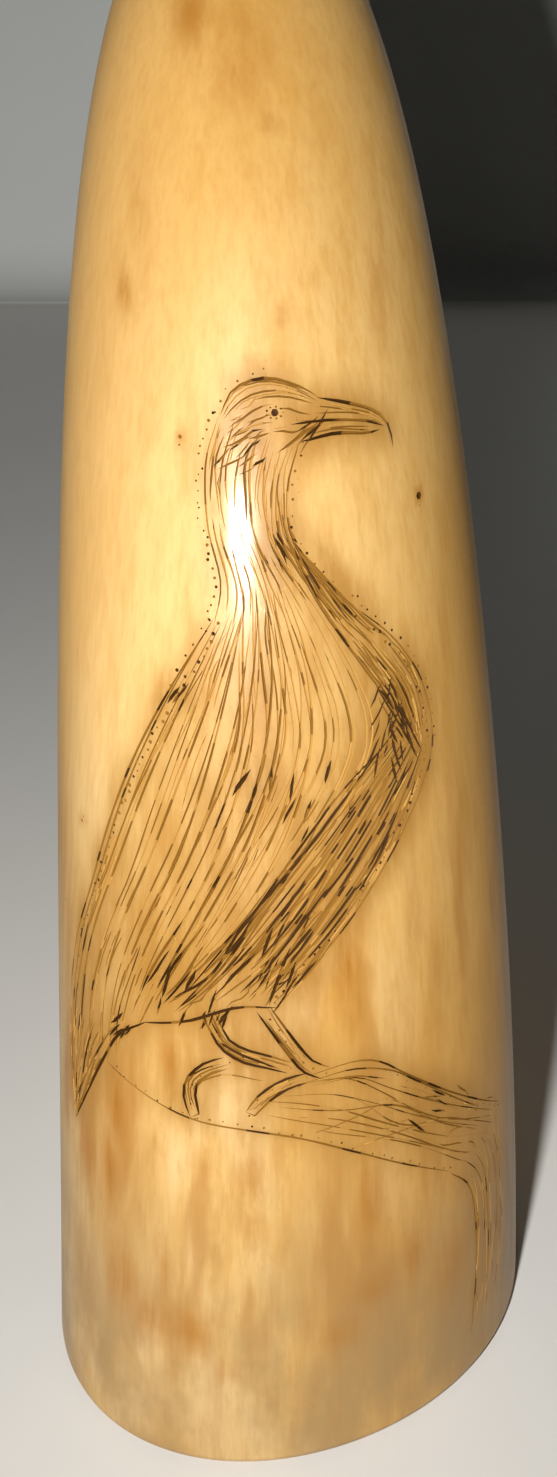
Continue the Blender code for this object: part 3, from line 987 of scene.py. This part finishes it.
class Nodes:
    """Short ways to add shader nodes."""

    def __init__(self, name):
        self.material = bpy.data.materials.new(name)
        self.material.use_nodes = True
        self.tree = self.material.node_tree
        self.shader = self.tree.nodes["Principled BSDF"]

    def put(self, socket, value):
        """Links a socket to another, or sets its value."""
        if isinstance(value, bpy.types.NodeSocket):
            self.tree.links.new(value, socket)
        else:
            socket.default_value = value

    def node(self, kind, inputs=(), **settings):
        made = self.tree.nodes.new(kind)
        for key, value in settings.items():
            setattr(made, key, value)
        for socket, value in dict(inputs).items():
            self.put(made.inputs[socket], value)
        return made

    def noise(self, place, scale, detail, stretch, roughness):
        mapped = self.node("ShaderNodeMapping", {"Vector": place, "Scale": (1.0, 1.0, stretch)})
        inputs = {"Vector": mapped.outputs[0], "Scale": scale, "Detail": detail, "Roughness": roughness}
        return self.node("ShaderNodeTexNoise", inputs).outputs["Fac"]

    def range(self, value, low, high, to_low, to_high):
        inputs = {"Value": value, "From Min": low, "From Max": high, "To Min": to_low, "To Max": to_high}
        return self.node("ShaderNodeMapRange", inputs, interpolation_type="SMOOTHSTEP").outputs[0]

    def multiply(self, first, second):
        return self.node("ShaderNodeMath", {0: first, 1: second}, operation="MULTIPLY").outputs[0]

    def mix(self, share, first, second):
        """Mixes two colours, the first a socket or a colour."""
        inputs = {0: share, 6: first, 7: (*second, 1.0)}
        return self.node("ShaderNodeMix", inputs, data_type="RGBA").outputs[2]

    def attribute(self, name):
        return self.node("ShaderNodeAttribute", attribute_name=name).outputs["Fac"]

    def set(self, **values):
        for key, value in values.items():
            self.put(self.shader.inputs[key.replace("_", " ").title().replace("Ior", "IOR")], value)


def ivory_material(form, finish):
    """Aged, polished ivory: warm, streaked along the tooth, dull and blotched near the base, with painted
    light toward the left and painted shade toward the right and at both edges.
    """
    nodes = Nodes("aged ivory")
    place = nodes.node("ShaderNodeTexCoord").outputs["Object"]
    axes = nodes.node("ShaderNodeSeparateXYZ", {0: place}).outputs
    patterns = {name: nodes.noise(place, *values) for name, values in PATTERNS.items()}
    # Place across the tooth, for painted light on the left side and painted shade on the right side and edges
    patterns["across"] = axes["X"]
    zones = {name: nodes.attribute(name) for name in ("spots", "wash", "haze")}
    for name, (start, full, least, most) in ZONES.items():
        zones[name] = nodes.range(axes["Z"], form.height * start, form.height * full, least, most)
    zones["band"] = nodes.multiply(zones["low"], zones["above foot"])
    # Pale patches kept to the left: partly their own place, partly painted shade on the right
    zones["low left"] = nodes.multiply(zones["low"], nodes.range(axes["X"], *PALE_SIDE))
    colour = (*finish.pale, 1.0)
    for pattern, start, end, least, most, tint, zone in TINTS:
        share = nodes.range(patterns[pattern], start, end, least, most)
        if zone:
            share = nodes.multiply(share, zones[zone])
        colour = nodes.mix(share, colour, getattr(finish, tint))
    grain = patterns["grain"]
    rough = nodes.range(grain, 0.3, 0.8, finish.roughness - 0.05, finish.roughness + 0.09)
    bump = nodes.node("ShaderNodeBump", {"Height": grain, "Strength": 0.12, "Distance": 0.0003})
    nodes.set(base_color=colour, roughness=rough, normal=bump.outputs[0])
    nodes.set(subsurface_weight=0.12, subsurface_scale=0.0025, subsurface_radius=(1.0, 0.55, 0.25))
    nodes.set(coat_weight=finish.coat, coat_roughness=0.17, specular_ior_level=0.12)
    return nodes.material


def ink_material(name, colour):
    """Dry ink in a cut."""
    nodes = Nodes(name)
    nodes.set(base_color=(*colour, 1.0), roughness=0.7, specular_ior_level=0.08)
    return nodes.material


def board_material(name, colour):
    """Plain matt board, with faint clouds."""
    nodes = Nodes(name)
    place = nodes.node("ShaderNodeTexCoord").outputs["Object"]
    cloud = nodes.noise(place, 9.0, 2.0, 1.0, 0.5)
    darker = [0.96 * part for part in colour]
    nodes.set(base_color=nodes.mix(cloud, (*colour, 1.0), darker), roughness=0.42)
    return nodes.material


# Operators

def link_piece(name, mesh):
    piece = bpy.data.objects.new(name, mesh)
    bpy.context.scene.collection.objects.link(piece)
    return piece


class SCRIMSHAW_OT_tooth(bpy.types.Operator):
    """Build the ivory tooth with its cut and inked picture"""
    bl_idname = "scrimshaw.tooth"
    bl_label = "Engraved tooth"

    def execute(self, context):
        scene = context.scene
        mesh = build_tooth(scene.tooth_form, scene.tooth_engraving, scene.tooth_finish)
        piece = link_piece("engraved_tooth", mesh)
        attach(piece, "root")
        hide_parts("tooth")
        return {"FINISHED"}


class SCRIMSHAW_OT_stage(bpy.types.Operator):
    """Build the pale floor and backdrop, the lights and the camera"""
    bl_idname = "scrimshaw.stage"
    bl_label = "Stage"

    def execute(self, context):
        studio = context.scene.tooth_studio
        build_backdrop(studio)
        build_lights(studio)
        build_camera(studio)
        context.scene.view_settings.view_transform = "Standard"
        return {"FINISHED"}


# Backdrop, in metres: half its width, its front edge, the radius of its bend and the height of its wall
BACKDROP_HALF, BACKDROP_FRONT = 3.0, -1.5
BACKDROP_BEND, BACKDROP_RISE = 0.08, 2.2
BACKDROP_STEPS = 12


def build_backdrop(studio):
    """Floor that curves up into a wall."""
    bm = bmesh.new()
    back = studio.wall_distance - BACKDROP_BEND
    bmesh.ops.create_grid(bm, x_segments=1, y_segments=1, size=1.0)
    for vert in bm.verts:
        vert.co = (vert.co.x * BACKDROP_HALF, BACKDROP_FRONT if vert.co.y < 0 else back, 0.0)
    edges = [edge for edge in bm.edges if all(vert.co.y > 0 for vert in edge.verts)]
    pivot = (0.0, back, BACKDROP_BEND)
    curve = bmesh.ops.spin(
        bm, geom=edges, cent=pivot, axis=(1, 0, 0), angle=math.pi / 2, steps=BACKDROP_STEPS, use_merge=False)
    top = [item for item in curve["geom_last"] if isinstance(item, bmesh.types.BMEdge)]
    grown = bmesh.ops.extrude_edge_only(bm, edges=top)["geom"]
    rise = [item for item in grown if isinstance(item, bmesh.types.BMVert)]
    bmesh.ops.translate(bm, verts=rise, vec=(0.0, 0.0, BACKDROP_RISE))
    bmesh.ops.recalc_face_normals(bm, faces=bm.faces)
    mesh = bpy.data.meshes.new("backdrop")
    bm.to_mesh(mesh)
    bm.free()
    mesh.shade_smooth()
    mesh.materials.append(board_material("pale floor", studio.floor))
    mesh.materials.append(board_material("grey wall", studio.wall))
    for face in mesh.polygons:
        face.material_index = int(abs(face.normal.y) > 0.2)
    link_piece("backdrop", mesh)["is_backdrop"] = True


def area_light(name, size, power, place, target, shape="SQUARE"):
    """A flat light at a place, turned to a target, as its lamp object."""
    light = bpy.data.lights.new(name, "AREA")
    light.shape = shape
    light.size = size
    light.energy = power
    lamp = link_piece(name, light)
    lamp.location = place
    lamp.rotation_euler = (Vector(target) - Vector(place)).to_track_quat("-Z", "Y").to_euler()
    return lamp


def soften_near(light, reach):
    """Makes a light's strength fall less steeply nearer than its reach."""
    light.use_nodes = True
    tree = light.node_tree
    falloff = tree.nodes.new("ShaderNodeLightFalloff")
    falloff.inputs["Strength"].default_value = 1.0
    gentle = tree.nodes.new("ShaderNodeMath")
    gentle.operation = "MULTIPLY_ADD"
    gentle.inputs[1].default_value = reach
    tree.links.new(falloff.outputs["Linear"], gentle.inputs[0])
    tree.links.new(falloff.outputs["Constant"], gentle.inputs[2])
    tree.links.new(gentle.outputs[0], tree.nodes["Emission"].inputs["Strength"])


def build_lights(studio):
    """A soft key and a gloss light beside the lens, broad lights behind and at the left, and even light."""
    lens = Vector(studio.camera_place)
    place = lens + Vector(studio.key_offset)
    key = area_light("key", studio.key_size, studio.key_power, place, (0.0, 0.0, 0.075), "DISK")
    key.visible_glossy = False
    soften_near(key.data, studio.key_reach)
    place = lens + Vector(studio.sparkle_offset)
    sparkle = area_light("sparkle", studio.sparkle_size, studio.sparkle_power, place, (0.0, 0.0, 0.1), "DISK")
    sparkle.visible_diffuse = False
    lit = bpy.data.collections.new("lit from behind and from the left")
    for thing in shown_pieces():
        lit.objects.link(thing)
    for name, size, power, place in (
        ("back light", studio.back_size, studio.back_power, studio.back_place),
        ("side light", studio.side_size, studio.side_power, studio.side_place),
    ):
        lamp = area_light(name, size, power, place, (0.0, 0.0, 0.08))
        lamp.visible_glossy = False
        lamp.light_linking.receiver_collection = lit
    world = bpy.data.worlds.new("studio")
    world.use_nodes = True
    shade = world.node_tree.nodes["Background"]
    shade.inputs["Color"].default_value = (*studio.ambient_colour, 1.0)
    shade.inputs["Strength"].default_value = studio.ambient
    bpy.context.scene.world = world


def build_camera(studio):
    """Camera at the photograph's angle."""
    lens = bpy.data.cameras.new("camera")
    lens.sensor_fit = "AUTO"
    lens.sensor_width = 36.0
    lens.lens = studio.focal_length
    lens.clip_start = 0.01
    camera = link_piece("camera", lens)
    camera.location = studio.camera_place
    camera.rotation_euler = (math.pi / 2 - studio.camera_pitch, 0.0, 0.0)
    bpy.context.scene.camera = camera


class SCRIMSHAW_PT_panel(bpy.types.Panel):
    """Lists what the add-on builds"""
    bl_label = "Scrimshaw whale tooth"
    bl_idname = "SCRIMSHAW_PT_panel"
    bl_space_type = "VIEW_3D"
    bl_region_type = "UI"
    bl_category = "Scrimshaw"

    def draw(self, context):
        for operator in (SCRIMSHAW_OT_tooth, SCRIMSHAW_OT_stage):
            self.layout.operator(operator.bl_idname)


CLASSES = (
    ToothForm, EngravingStyle, IvoryFinish, StudioSet,
    SCRIMSHAW_OT_tooth, SCRIMSHAW_OT_stage, SCRIMSHAW_PT_panel,
)
GROUPS = {
    "tooth_form": ToothForm,
    "tooth_engraving": EngravingStyle,
    "tooth_finish": IvoryFinish,
    "tooth_studio": StudioSet,
}


def register():
    for made in CLASSES:
        bpy.utils.register_class(made)
    for name, group in GROUPS.items():
        setattr(bpy.types.Scene, name, PointerProperty(type=group))


def unregister():
    for name in GROUPS:
        delattr(bpy.types.Scene, name)
    for made in reversed(CLASSES):
        bpy.utils.unregister_class(made)


def main():
    register()
    bpy.ops.scrimshaw.tooth()
    bpy.ops.scrimshaw.stage()


if __name__ == "__main__":
    main()
